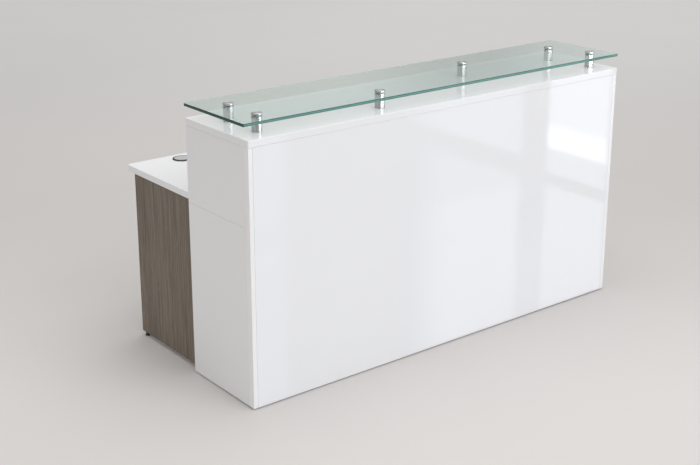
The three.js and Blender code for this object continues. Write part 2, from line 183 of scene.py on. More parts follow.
class Value:
    """A socket in a shader. Arithmetic on it adds Math nodes to the same shader."""

    def __init__(self, shader, socket):
        self.shader = shader
        self.socket = socket

    def math(self, operation, *terms):
        return self.shader.node("ShaderNodeMath", {"operation": operation}, dict(enumerate(terms)))

    def __add__(self, other):
        return self.math("ADD", self, other)

    __radd__ = __add__

    def __sub__(self, other):
        return self.math("SUBTRACT", self, other)

    def __rsub__(self, other):
        return self.math("SUBTRACT", other, self)

    def __mul__(self, other):
        return self.math("MULTIPLY", self, other)

    __rmul__ = __mul__

    def __truediv__(self, other):
        return self.math("DIVIDE", self, other)

    def __rtruediv__(self, other):
        return self.math("DIVIDE", other, self)

    def __abs__(self):
        return self.math("ABSOLUTE", self)


class Shader:
    """The node tree of a material or of the world, while it is being written."""

    def __init__(self, owner):
        owner.use_nodes = True
        self.owner = owner
        self.tree = owner.node_tree
        self.tree.nodes.clear()

    def node(self, kind, settings=None, inputs=None, output=0):
        """Adds a node: first its settings, then what feeds its sockets. Returns one output."""
        node = self.tree.nodes.new(kind)
        for key, value in (settings or {}).items():
            setattr(node, key, value)
        for key, value in (inputs or {}).items():
            if isinstance(value, Value):
                self.tree.links.new(value.socket, node.inputs[key])
            else:
                node.inputs[key].default_value = value
        return Value(self, node.outputs[output]) if len(node.outputs) else None

    def place(self):
        """Where a point lies on its own piece, in metres."""
        return self.node("ShaderNodeTexCoord", output="Object")

    def part(self, vector, axis):
        """One number of a vector: X, Y or Z."""
        return self.node("ShaderNodeSeparateXYZ", inputs={0: vector}, output=axis)

    def scaled(self, vector, factors):
        return self.node("ShaderNodeVectorMath", {"operation": "MULTIPLY"}, {0: vector, 1: factors})

    def moved(self, vector, offset):
        return self.node("ShaderNodeVectorMath", {"operation": "ADD"}, {0: vector, 1: offset})

    def noise(self, vector, scale, detail=2.0, roughness=0.5):
        inputs = {"Vector": vector, "Scale": scale, "Detail": detail, "Roughness": roughness}
        return self.node("ShaderNodeTexNoise", inputs=inputs)

    def step(self, value, low, high):
        """Rises softly from 0 at low to 1 at high."""
        inputs = {"Value": value, "From Min": low, "From Max": high}
        return self.node("ShaderNodeMapRange", {"interpolation_type": "SMOOTHSTEP"}, inputs)

    def mix(self, factor, first, second, blend="MIX"):
        """Mixes two colours."""
        settings = {"data_type": "RGBA", "blend_type": blend}
        inputs = {0: factor, 6: self.full(first), 7: self.full(second)}
        return self.node("ShaderNodeMix", settings, inputs, output=2)

    @staticmethod
    def full(tint):
        """A colour as a socket or as four numbers."""
        return tint if isinstance(tint, Value) else (*tint[:3], 1.0)

    def bump(self, height, distance, strength=1.0):
        inputs = {"Height": height, "Distance": distance, "Strength": strength}
        return self.node("ShaderNodeBump", inputs=inputs)

    def principled(self, **named):
        """The main surface shader. Underscores in the names stand for spaces."""
        inputs = {key.replace("_", " "): value for key, value in named.items()}
        for key, value in inputs.items():
            if key.endswith(("Color", "Tint")):
                inputs[key] = self.full(value)
        return self.node("ShaderNodeBsdfPrincipled", inputs=inputs)

    def finish(self, surface, volume=None):
        inputs = {"Surface": surface}
        if volume:
            inputs["Volume"] = volume
        kind = "World" if isinstance(self.owner, bpy.types.World) else "Material"
        self.node(f"ShaderNodeOutput{kind}", inputs=inputs)
        return self.owner


def shade(tint, factor):
    """A colour made lighter or darker."""
    return tuple(part * factor for part in tint)


def board_edge(shader):
    """1 on the eased edges of a board and 0 on its flat faces."""
    normal = shader.node("ShaderNodeTexCoord", output="Normal")
    sizes = [abs(shader.part(normal, axis)) for axis in "XYZ"]
    largest = sizes[0].math("MAXIMUM", sizes[0], sizes[1])
    largest = largest.math("MAXIMUM", largest, sizes[2])
    return 1 - shader.step(largest, 0.86, 0.98)


def white_gloss(finishes):
    """Lacquered white board: a clean mirror-like face with a slight ripple, and finger smears."""
    shader = Shader(bpy.data.materials.new("white_gloss_board"))
    place = shader.place()
    cloud = shader.noise(place, 1.6, 3, 0.55)
    smear = shader.step(shader.noise(place, 7.0, 6, 0.62), 0.45, 0.75)
    ripple = shader.noise(place, 26.0, 1, 0.4)
    peel = shader.noise(place, 420.0, 2, 0.5)
    speck = shader.step(shader.noise(place, 900.0, 1, 0.5), 0.72, 0.8)
    low = 1 - shader.step(shader.part(place, "Z"), 0.0, 0.09)
    scrape = shader.noise(shader.scaled(place, (30, 30, 220)), 1.0, 4, 0.6)
    scuff = low * shader.step(scrape, 0.5, 0.72)
    tint = shader.mix(cloud, shade(finishes.white, 0.985), shade(finishes.white, 1.012))
    tint = shader.mix(speck * 0.05, tint, shade(finishes.white, 0.8))
    tint = shader.mix(scuff * 0.06, tint, (0.55, 0.54, 0.53))
    roughness = 0.055 + smear * 0.05 + scuff * 0.12 + speck * 0.1
    height = ripple * 0.8 + peel * 0.05
    return shader.finish(shader.principled(
        Base_Color=tint, Roughness=roughness, IOR=1.52,
        Normal=shader.bump(height, 0.00018, 0.35),
    ))


def white_satin(finishes):
    """Satin white edging: softer than the gloss faces, with a fine even grain."""
    shader = Shader(bpy.data.materials.new("white_satin_board"))
    place = shader.place()
    cloud = shader.noise(place, 3.0, 3, 0.5)
    grain = shader.noise(place, 1500.0, 2, 0.6)
    rub = shader.step(shader.noise(shader.scaled(place, (40, 40, 6)), 1.0, 4, 0.6), 0.5, 0.75)
    tint = shader.mix(cloud, shade(finishes.satin, 0.98), shade(finishes.satin, 1.01))
    return shader.finish(shader.principled(
        Base_Color=tint, Roughness=0.2 + grain * 0.08 - rub * 0.05, IOR=1.5,
        Normal=shader.bump(grain, 0.00012, 0.25),
    ))


def wood_grain(finishes, name, along):
    """Taupe wood grain: fine straight streaks along the grain, broader bands, and short pores."""
    shader = Shader(bpy.data.materials.new(name))
    place = shader.place()

    def streaks(across, lengthwise, scale, detail, roughness, offset=0.0):
        factors = [across] * 3
        factors[along] = lengthwise
        start = shader.moved(place, (offset, offset, offset))
        return shader.noise(shader.scaled(start, factors), scale, detail, roughness)

    sway = streaks(7, 0.7, 1.0, 2, 0.5)
    bands = streaks(60, 0.6, 1.0, 2, 0.5, 3.1)
    strands = streaks(170, 2.4, 1.0, 3, 0.65, 6.4)
    fine = streaks(380, 7.0, 1.0, 3, 0.6, 1.7)
    hair = streaks(800, 22.0, 1.0, 2, 0.6, 5.3)
    pores = shader.step(streaks(900, 30.0, 1.0, 2, 0.55, 8.9), 0.6, 0.72)
    tone = strands * 0.66 + bands * 0.2 + fine * 0.5 + hair * 0.26 + sway * 0.1 - 0.36
    tint = shader.mix(shader.step(tone, 0.26, 0.74), finishes.wood_dark, finishes.wood_light)
    tint = shader.mix(shader.step(fine, 0.56, 0.72) * 0.4, tint, shade(finishes.wood_light, 1.3))
    tint = shader.mix(pores * 0.5, tint, shade(finishes.wood_dark, 0.55))
    # painted shade: the eased edges of the wood are darkened
    tint = shader.mix(board_edge(shader) * 0.4, tint, shade(finishes.wood_dark, 0.7))
    roughness = 0.46 + hair * 0.12 + pores * 0.2
    height = fine * 0.5 + hair * 0.5 - pores
    return shader.finish(shader.principled(
        Base_Color=tint, Roughness=roughness, IOR=1.45,
        Normal=shader.bump(height, 0.0002, 0.5),
    ))


def clear_glass(finishes):
    """Float glass: clear through its faces, a trace of dust, and green polished edges painted with
    light and shade.
    """
    shader = Shader(bpy.data.materials.new("clear_glass"))
    place = shader.place()
    dust = shader.noise(place, 60.0, 5, 0.65)
    film = shader.step(shader.noise(place, 2.4, 4, 0.55), 0.4, 0.8)
    clear = shader.principled(
        Base_Color=finishes.glass_face, Roughness=0.004 + film * 0.012 + dust * 0.004, IOR=1.52,
        Transmission_Weight=1.0,
    )
    passed = shader.node("ShaderNodeBsdfTransparent", inputs={
        "Color": shader.full(finishes.glass_light),
    })
    shadow = shader.node("ShaderNodeLightPath", output="Is Shadow Ray")
    soft = shader.node("ShaderNodeLightPath", output="Is Diffuse Ray")
    faces = shader.node("ShaderNodeMixShader", inputs={
        0: shadow.math("MAXIMUM", shadow, soft), 1: clear, 2: passed,
    })
    normal = shader.node("ShaderNodeTexCoord", output="Normal")
    low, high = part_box("glass_top")
    rim = 2 * MM
    across = abs(shader.part(place, "X") - (low.x + high.x) / 2)
    along = abs(shader.part(place, "Y") - (low.y + high.y) / 2)
    half_length, half_depth = (high.x - low.x) / 2, (high.y - low.y) / 2
    outline = across.math(
        "MAXIMUM", shader.step(across, half_length - rim, half_length - rim / 2),
        shader.step(along, half_depth - rim, half_depth - rim / 2),
    )
    edge = outline * (1 - shader.step(abs(shader.part(normal, "Z")), 0.55, 0.85))
    surface = shader.node("ShaderNodeMixShader", inputs={
        0: edge, 1: faces, 2: edge_with_painted_light(shader, finishes, place, normal),
    })
    inside = shader.node("ShaderNodeVolumeAbsorption", inputs={
        "Color": shader.full(finishes.glass), "Density": 3.4,
    })
    return shader.finish(surface, inside)


def edge_with_painted_light(shader, finishes, place, normal):
    """A polished edge's green with painted light and shade: a painted glow in its heart, painted
    shade above and below, a painted glint where eased, and a pale painted look from within the
    glass.
    """
    low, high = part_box("glass_top")
    level = (shader.part(place, "Z") - low.z) / (high.z - low.z)
    end = shader.step(abs(shader.part(normal, "X")), 0.5, 0.9)
    streak = shader.noise(shader.scaled(place, (5, 5, 160)), 1.0, 3, 0.6)
    drift = shader.noise(shader.scaled(place, (2.2, 2.2, 2.2)), 1.0, 2, 0.5)
    # painted glow: the middle band of the edge is brightest
    heart = shader.step(level, 0.3, 0.45) * (1 - shader.step(level, 0.58, 0.74))
    # painted glint on the eased lower rim
    eased = (1 - shader.step(level, 0.08, 0.16)) * (1 - end * 0.6)
    # painted shade: the short edges are painted darker than the long ones
    tint = shader.mix(end, finishes.glass_edge, finishes.glass_end)
    tint = shader.mix(streak * 0.5, tint, shader.mix(1.0, tint, (1.4, 1.2, 1.2), "MULTIPLY"))
    # painted shade: the bands above and below the glow are darkened
    tint = shader.mix(1 - heart, tint, shader.mix(1.0, tint, (0.45, 0.48, 0.5), "MULTIPLY"))
    tint = shader.mix(drift * 0.5, tint, shader.mix(1.0, tint, (0.6, 0.52, 0.55), "MULTIPLY"))
    tint = shader.mix(eased, tint, finishes.glass_arris_glint)
    # painted look of an edge seen from within the glass, pale
    inside = shader.node("ShaderNodeNewGeometry", output="Backfacing")
    within = shader.mix(end, finishes.glass_within, finishes.glass_end_within)
    tint = shader.mix(inside, tint, within)
    return shader.principled(
        Base_Color=tint, Roughness=0.06 + streak * 0.06, IOR=1.52, Specular_IOR_Level=0.1,
    )


def bright_metal(finishes):
    """Turned and polished metal: fine tool lines round the piece, and smears."""
    shader = Shader(bpy.data.materials.new("turned_bright_metal"))
    place = shader.place()
    lines = shader.noise(shader.scaled(place, (40, 40, 9000)), 1.0, 2, 0.6)
    smear = shader.step(shader.noise(place, 90.0, 4, 0.6), 0.48, 0.78)
    tint = shader.mix(smear * 0.5, finishes.metal, shade(finishes.metal, 0.9))
    return shader.finish(shader.principled(
        Base_Color=tint, Metallic=1.0, Roughness=0.28 + lines * 0.05 + smear * 0.05,
        Anisotropic=0.9, Anisotropic_Rotation=0.25,
        Normal=shader.bump(lines, 0.00004, 0.12),
    ))


def clear_rubber(finishes):
    """Soft translucent ring, slightly cloudy."""
    shader = Shader(bpy.data.materials.new("clear_rubber"))
    place = shader.place()
    cloud = shader.noise(place, 240.0, 3, 0.55)
    tint = shader.mix(cloud, shade(finishes.rubber, 0.9), shade(finishes.rubber, 1.08))
    return shader.finish(shader.principled(
        Base_Color=tint, Roughness=0.38 + cloud * 0.2, IOR=1.41, Transmission_Weight=0.35,
    ))


def moulded_plastic(name, tint, gloss, grain_size):
    """Moulded plastic: a fine spark-eroded grain, and paler rubbed patches."""
    shader = Shader(bpy.data.materials.new(name))
    place = shader.place()
    grain = shader.noise(place, grain_size, 2, 0.55)
    cloud = shader.noise(place, 70.0, 3, 0.5)
    rub = shader.step(shader.noise(place, 160.0, 5, 0.65), 0.56, 0.76)
    mixed = shader.mix(cloud, shade(tint, 0.86), shade(tint, 1.1))
    mixed = shader.mix(rub * 0.12, mixed, tuple(min(1.0, part * 1.5 + 0.02) for part in tint))
    return shader.finish(shader.principled(
        Base_Color=mixed, Roughness=gloss + grain * 0.14 + rub * 0.08, IOR=1.49,
        Normal=shader.bump(grain, 0.00008, 0.4),
    ))


def zinc_plate(finishes):
    """Zinc-plated steel: crystal patches, drawing lines, a dull bloom. Made once and shared."""
    name = "zinc_plated_steel"
    if name in bpy.data.materials:
        return bpy.data.materials[name]
    shader = Shader(bpy.data.materials.new(name))
    place = shader.place()
    patches = shader.node(
        "ShaderNodeTexVoronoi", inputs={"Vector": place, "Scale": 260.0}, output="Color",
    )
    patch = shader.part(patches, "X")
    lines = shader.noise(shader.scaled(place, (2400, 60, 2400)), 1.0, 2, 0.6)
    bloom = shader.step(shader.noise(place, 45.0, 4, 0.6), 0.5, 0.75)
    tint = shader.mix(patch, shade(finishes.zinc, 0.86), shade(finishes.zinc, 1.08))
    tint = shader.mix(bloom * 0.4, tint, (0.5, 0.5, 0.5))
    return shader.finish(shader.principled(
        Base_Color=tint, Metallic=1.0 - bloom * 0.25, Roughness=0.28 + lines * 0.12 + bloom * 0.15,
        Normal=shader.bump(lines, 0.00005, 0.3),
    ))


def dress(nodes, material):
    """Gives solids their finish."""
    for node in nodes:
        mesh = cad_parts[node].data
        mesh.materials.clear()
        mesh.materials.append(material)


def softened(points, steps=5):
    """Rounds a profile's corners. A point is (radius, height) or (radius, height, rounding)."""
    result = []
    last = len(points) - 1
    for index, point in enumerate(points):
        corner = Vector(point[:2])
        rounding = point[2] if len(point) > 2 else 0
        if not rounding or index in (0, last):
            result.append(corner)
            continue
        before = Vector(points[index - 1][:2]) - corner
        after = Vector(points[index + 1][:2]) - corner
        start = corner + before.normalized() * min(rounding, before.length * 0.49)
        end = corner + after.normalized() * min(rounding, after.length * 0.49)
        for step in range(steps + 1):
            t = step / steps
            result.append(start * (1 - t) ** 2 + corner * 2 * t * (1 - t) + end * t * t)
    return result


def turned_mesh(name, profile, sides):
    """A turned piece about Z. A profile that ends where it starts makes a ring."""
    points = softened(profile)
    is_ring = (points[0] - points[-1]).length < 1e-9
    if is_ring:
        points = points[:-1]
    shape = bmesh.new()
    angles = [2 * math.pi * side / sides for side in range(sides)]
    loops = []
    for radius, height in points:
        if radius < 1e-7:
            loops.append([shape.verts.new((0, 0, height))])
        else:
            loops.append([
                shape.verts.new((radius * math.cos(a), radius * math.sin(a), height))
                for a in angles
            ])
    pairs = list(zip(loops, loops[1:]))
    if is_ring:
        pairs.append((loops[-1], loops[0]))
    for lower, upper in pairs:
        for side in range(sides):
            follow = (side + 1) % sides
            ring = [lower[side % len(lower)], lower[follow % len(lower)],
                    upper[follow % len(upper)], upper[side % len(upper)]]
            corners = list(dict.fromkeys(ring))
            if len(corners) > 2:
                shape.faces.new(corners)
    return closed_mesh(name, shape)


def closed_mesh(name, shape, sharp=35):
    """Ends a mesh in the making: faces look out, and only real edges stay sharp."""
    bmesh.ops.recalc_face_normals(shape, faces=shape.faces)
    mesh = bpy.data.meshes.new(name)
    shape.to_mesh(mesh)
    shape.free()
    mesh.shade_smooth()
    mesh.set_sharp_from_angle(angle=math.radians(sharp))
    return mesh


def add_piece(name, mesh, material, place, body=DESK_BODY, stands_for=None):
    """Puts a piece in place, on the body that it moves with."""
    piece = bpy.data.objects.new(name, mesh)
    mesh.materials.append(material)
    piece.location = place
    bpy.context.scene.collection.objects.link(piece)
    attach(piece, body)
    if stands_for:
        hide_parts(stands_for)
    return piece


def middle_of(node):
    """Middle of a solid seen from above, with its lowest and highest level."""
    low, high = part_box(node)
    return (low.x + high.x) / 2, (low.y + high.y) / 2, low.z, high.z


def radius_of(node):
    """Radius of a round solid."""
    low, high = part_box(node)
    return (high.x - low.x) / 2


class DESK_OT_boards(bpy.types.Operator):
    """Gives the counter, the panels, the desktop and the gables their finishes"""

    bl_idname = "desk.boards"
    bl_label = "Boards"

    def execute(self, context):
        finishes = context.scene.desk_finishes
        dress(WHITE_BOARDS, white_gloss(finishes))
        dress(SATIN_BOARDS, white_satin(finishes))
        dress(("left_gable", "right_gable"), wood_grain(finishes, "wood_grain_upright", 2))
        dress(("modesty_panel",), wood_grain(finishes, "wood_grain_level", 0))
        return {"FINISHED"}


class DESK_OT_glass_shelf(bpy.types.Operator):
    """Gives the glass shelf its finish"""

    bl_idname = "desk.glass_shelf"
    bl_label = "Glass shelf"

    def execute(self, context):
        dress(("glass_top",), clear_glass(context.scene.desk_finishes))
        return {"FINISHED"}


class DESK_OT_standoffs(bpy.types.Operator):
    """Turns the barrels, caps and rings that carry the glass"""

    bl_idname = "desk.standoffs"
    bl_label = "Standoffs"

    def execute(self, context):
        fit = context.scene.desk_fittings
        metal = bright_metal(context.scene.desk_finishes)
        rubber = clear_rubber(context.scene.desk_finishes)
        for place in STANDOFF_PLACES:
            self.add_barrel(f"{place}_standoff_barrel", fit, metal)
            self.add_cap(f"{place}_standoff_cap", fit, metal)
            for level in ("lower", "upper"):
                self.add_ring(f"{place}_standoff_{level}_gasket", fit, rubber)
        return {"FINISHED"}

    @staticmethod
    def add_barrel(node, fit, metal):
        x, y, bottom, top = middle_of(node)
        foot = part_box("counter_top")[1].z + fit.fit_gap
        radius = radius_of(node)
        height = top - foot
        bore, lead_in = fit.stud + fit.fit_gap, 1 * MM
        neck, rise = radius - 1.2 * MM, 0.9 * MM
        mesh = turned_mesh(f"turned_{node}", [
            (0, bottom - foot), (fit.spigot, bottom - foot, fit.ease), (fit.spigot, 0),
            (neck, 0), (neck, rise, FINE), (radius, rise, fit.ease / 2),
            (radius, height, fit.ease), (bore + lead_in, height), (bore, height - lead_in),
            (bore, height - fit.stud_grip), (0, height - fit.stud_grip - lead_in),
        ], fit.sides)
        add_piece(f"turned_{node}", mesh, metal, (x, y, foot), stands_for=node)

    @staticmethod
    def add_cap(node, fit, metal):
        x, y, bottom, top = middle_of(node)
        radius = radius_of(node)
        thickness = fit.cap_thickness
        under = top - thickness
        neck, rise = radius - 1.0 * MM, 0.7 * MM
        groove, half_width, depth = radius * 0.80, 0.5 * MM, 0.35 * MM
        mesh = turned_mesh(f"turned_{node}", [
            (0, bottom - under), (fit.stud - fit.ease, bottom - under),
            (fit.stud, bottom - under + fit.ease), (fit.stud, 0),
            (neck, 0), (neck, rise, FINE), (radius, rise, fit.ease / 2),
            (radius, thickness, fit.cap_rounding),
            (groove + half_width, thickness, FINE), (groove, thickness - depth, FINE),
            (groove - half_width, thickness, FINE), (0, thickness),
        ], fit.sides)
        add_piece(f"turned_{node}", mesh, metal, (x, y, under), stands_for=node)

    @staticmethod
    def add_ring(node, fit, rubber):
        x, y, bottom, top = middle_of(node)
        radius, bore = radius_of(node), fit.ring_bore
        height = top - bottom
        lip = 0.35 * MM
        mesh = turned_mesh(f"moulded_{node}", [
            (bore, height / 2), (bore, 0, lip), (radius, 0, lip), (radius, height, lip),
            (bore, height, lip), (bore, height / 2),
        ], fit.small_sides)
        add_piece(f"moulded_{node}", mesh, rubber, (x, y, bottom), stands_for=node)


class DESK_OT_cable_outlets(bpy.types.Operator):
    """Moulds the liners and the lift-out caps of the cable outlets"""

    bl_idname = "desk.cable_outlets"
    bl_label = "Cable outlets"

    def execute(self, context):
        fit = context.scene.desk_fittings
        finishes = context.scene.desk_finishes
        black = moulded_plastic("black_moulded_liner", finishes.black, 0.34, 1800.0)
        grey = moulded_plastic("grey_moulded_cap", finishes.grey, 0.36, 1500.0)
        for side_name, side in SIDES.items():
            self.add_liner(f"{side_name}_grommet_liner", fit, black)
            self.add_cap(f"{side_name}_grommet_cap", side, fit, grey)
        return {"FINISHED"}

    @staticmethod
    def add_liner(node, fit, plastic):
        x, y, bottom, top = middle_of(node)
        desk_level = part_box("desktop")[1].z
        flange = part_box(node)[1].x - x
        seat = fit.outlet_cap + fit.fit_gap
        bore, sleeve = fit.outlet_bore, fit.outlet_sleeve
        rim = top - desk_level
        ledge = rim - fit.outlet_ledge
        low = bottom - desk_level
        start = -5 * MM
        mesh = turned_mesh(f"moulded_{node}", [
            (bore, start), (bore, low, 0.5 * MM), (sleeve, low, 0.5 * MM), (sleeve, fit.fit_gap),
            (flange, fit.fit_gap, FINE), (flange, rim * 0.55, 1.2 * MM),
            (flange - 2.2 * MM, rim, 1.2 * MM), (seat, rim, 0.5 * MM), (seat, ledge),
            (bore, ledge, 0.3 * MM), (bore, start),
        ], fit.sides)
        place = (x, y, desk_level)
        add_piece(f"moulded_{node}", mesh, plastic, place, stands_for=node)

    @staticmethod
    def add_cap(node, side, fit, plastic):
        low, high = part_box(node)
        radius = fit.outlet_cap
        x = low.x + radius if side < 0 else high.x - radius
        y = (low.y + high.y) / 2
        outline = notched_disc(radius, fit.notch, -side)
        height = high.z - low.z
        mesh = plate_mesh(f"moulded_{node}", outline, [
            (0.3 * MM, 0), (0, 0.3 * MM), (0, height - 0.9 * MM), (0.25 * MM, height - 0.3 * MM),
            (0.9 * MM, height), (4.2 * MM, height), (4.6 * MM, height - 0.5 * MM),
        ])
        add_piece(f"moulded_{node}", mesh, plastic, (x, y, low.z), node, node)


def notched_disc(radius, notch, side, steps=120):
    """Outline of a round cap with a cable notch in its rim, on the +X or the -X side."""
    half = 2 * math.asin(notch / (2 * radius))
    rim = [half + (2 * math.pi - 2 * half) * step / steps for step in range(steps + 1)]
    outline = [Vector((radius * math.cos(a), radius * math.sin(a))) for a in rim]
    begin = math.atan2(outline[-1].y, outline[-1].x - radius) % (2 * math.pi)
    finish = math.atan2(outline[0].y, outline[0].x - radius)
    count = steps // 5
    for step in range(1, count):
        angle = begin + (finish - begin) * step / count
        outline.append(Vector((radius + notch * math.cos(angle), notch * math.sin(angle))))
    if side < 0:
        outline = [Vector((-point.x, point.y)) for point in reversed(outline)]
    return outline


def inset_outline(outline, distance):
    """The outline, drawn in by a distance."""
    result = []
    for index, point in enumerate(outline):
        run = outline[(index + 1) % len(outline)] - outline[index - 1]
        inward = Vector((-run.y, run.x)).normalized()
        result.append(point + inward * distance)
    return result


def plate_mesh(name, outline, levels):
    """A plate over an outline. Each level is (inset, height), from the bottom to the top."""
    shape = bmesh.new()
    loops = []
    for inset, height in levels:
        loops.append([shape.verts.new((*point, height)) for point in inset_outline(outline, inset)])
    shape.faces.new(list(reversed(loops[0])))
    for lower, upper in zip(loops, loops[1:]):
        for index in range(len(outline)):
            follow = (index + 1) % len(outline)
            shape.faces.new((lower[index], lower[follow], upper[follow], upper[index]))
    shape.faces.new(loops[-1])
    return closed_mesh(name, shape)


class DESK_OT_levelling_feet(bpy.types.Operator):
    """Turns the levelling feet with their threaded stems, and the inserts that take them"""

    bl_idname = "desk.levelling_feet"
    bl_label = "Levelling feet"

    def execute(self, context):
        fit = context.scene.desk_fittings
        finishes = context.scene.desk_finishes
        black = moulded_plastic("black_moulded_foot", finishes.black, 0.42, 1400.0)
        zinc = zinc_plate(finishes)
        for side_name in SIDES:
            for place in FOOT_PLACES:
                self.add_foot(f"{side_name}_{place}_foot", fit, black)
                self.add_insert(f"{side_name}_{place}_foot_insert", fit, zinc)
        return {"FINISHED"}

    @staticmethod
    def add_foot(node, fit, plastic):
        x, y, bottom, top = middle_of(node)
        radius, pad = radius_of(node), fit.foot_pad
        root = fit.stem - fit.thread
        profile = [
            (0, 0.6 * MM), (radius * 0.55, 0.6 * MM, 0.3 * MM), (radius * 0.6, 0),
            (radius - 0.8 * MM, 0, 0.3 * MM), (radius, 0.9 * MM, 0.4 * MM),
            (radius - 0.6 * MM, 4.2 * MM, 0.4 * MM), (radius - 1.5 * MM, 4.9 * MM, 0.3 * MM),
            (radius - 2.4 * MM, pad, 0.5 * MM), (fit.stem + 1.6 * MM, pad), (root, pad + FINE),
        ]
        level = pad + 1.0 * MM
        while level < top - 2 * fit.pitch:
            crest = [(fit.stem, level + fit.pitch * share) for share in (0.45, 0.55)]
            profile += [(root, level), *crest]
            level += fit.pitch
        profile += [(root, level), (root, top - 0.6 * MM), (root - 0.6 * MM, top), (0, top)]
        mesh = turned_mesh(f"moulded_{node}", profile, fit.small_sides)
        add_piece(f"moulded_{node}", mesh, plastic, (x, y, bottom), node, node)

    @staticmethod
    def add_insert(node, fit, zinc):
        x, y, bottom, top = middle_of(node)
        flange, plate = radius_of(node), 1.5 * MM
        bore = fit.stem + fit.fit_gap
        wall = bore + 2 * MM
        height = top - bottom
        mesh = turned_mesh(f"turned_{node}", [
            (bore, height / 2), (bore, 0.8 * MM), (bore + 0.8 * MM, 0), (flange, 0, 0.4 * MM),
            (flange, plate, 0.3 * MM), (wall, plate), (wall, height, 0.5 * MM),
            (bore, height, 0.3 * MM), (bore, height / 2),
        ], fit.small_sides)
        add_piece(f"turned_{node}", mesh, zinc, (x, y, bottom), stands_for=node)


class DESK_OT_brackets(bpy.types.Operator):
    """Finishes the angle brackets and drives their screws"""

    bl_idname = "desk.brackets"
    bl_label = "Brackets"

    def execute(self, context):
        fit = context.scene.desk_fittings
        zinc = zinc_plate(context.scene.desk_finishes)
        for side_name, side in SIDES.items():
            for place in ("front_desktop", "back_desktop", "counter"):
                node = f"{side_name}_{place}_bracket"
                dress((node,), zinc)
                self.add_screws(node, side, fit, zinc)
        return {"FINISHED"}

    @staticmethod
    def add_screws(node, side, fit, zinc):
        """Four screws: two up into the board, two into the upright."""
        low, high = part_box(node)
        bend = Vector((low.x if side < 0 else high.x, (low.y + high.y) / 2, high.z))
        inward = -side
        shape = bmesh.new()
        for row in (-1, 1):
            along = row * fit.hole_pitch / 2
            level = Vector((inward * fit.hole_reach, along, -fit.gauge))
            upright = Vector((inward * fit.gauge, along, -fit.hole_reach))
            down = Matrix.Rotation(math.pi, 4, "X")
            across = Matrix.Rotation(inward * math.pi / 2, 4, "Y")
            for seat, turn in ((level, down), (upright, across)):
                add_screw_head(shape, fit.screw, Matrix.Translation(seat) @ turn)
        mesh = closed_mesh(f"{node}_screws", shape)
        add_piece(f"{node}_screws", mesh, zinc, bend)


def cross_radius(angle, arm, half_width):
    """Distance from the middle of a cross to its edge, in one direction."""
    turn = abs((angle + math.pi / 4) % (math.pi / 2) - math.pi / 4)
    if arm * math.tan(turn) <= half_width:
        return arm / math.cos(turn)
    return half_width / math.sin(turn)


def add_screw_head(shape, radius, placing, sides=48):
    """A domed screw head with a cross recess, its seat at the origin and its top along +Z."""
    height = radius * 0.52
    angles = [2 * math.pi * side / sides for side in range(sides)]
    arm, half_width, depth = radius * 0.52, radius * 0.11, height * 0.75

    def loop(reach, level):
        points = [(reach(a) * math.cos(a), reach(a) * math.sin(a), level) for a in angles]
        return [shape.verts.new(placing @ Vector(point)) for point in points]

    dome = [(1.0, 0.0), (1.0, 0.22), (0.95, 0.5), (0.82, 0.78), (0.66, 0.95), (0.6, 1.0)]
    loops = [loop(lambda a, share=share: radius * share, height * rise) for share, rise in dome]
    loops.append(loop(lambda a: cross_radius(a, arm, half_width), height))
    loops.append(loop(lambda a: cross_radius(a, arm * 0.8, half_width * 0.8), height - depth))
    for lower, upper in zip(loops, loops[1:]):
        for side in range(sides):
            follow = (side + 1) % sides
            shape.faces.new((lower[side], lower[follow], upper[follow], upper[side]))
    shape.faces.new(list(reversed(loops[0])))
    shape.faces.new(loops[-1])


def upright_card(left, right, y, low, high):
    """Corners of an upright card that stands parallel to the desk's front."""
    return [(left, y, low), (right, y, low), (right, y, high), (left, y, high)]


def show_in_gloss_only(name, faces, material):
    """Stands flat cards in the studio that only show as a reflection."""
    shape = bmesh.new()
    for corners in faces:
        shape.faces.new([shape.verts.new(corner) for corner in corners])
    mesh = bpy.data.meshes.new(name)
    shape.to_mesh(mesh)
    shape.free()
    mesh.materials.append(material)
    card = bpy.data.objects.new(name, mesh)
    bpy.context.scene.collection.objects.link(card)
    for kind in ("camera", "diffuse", "transmission", "shadow", "volume_scatter"):
        setattr(card, f"visible_{kind}", False)


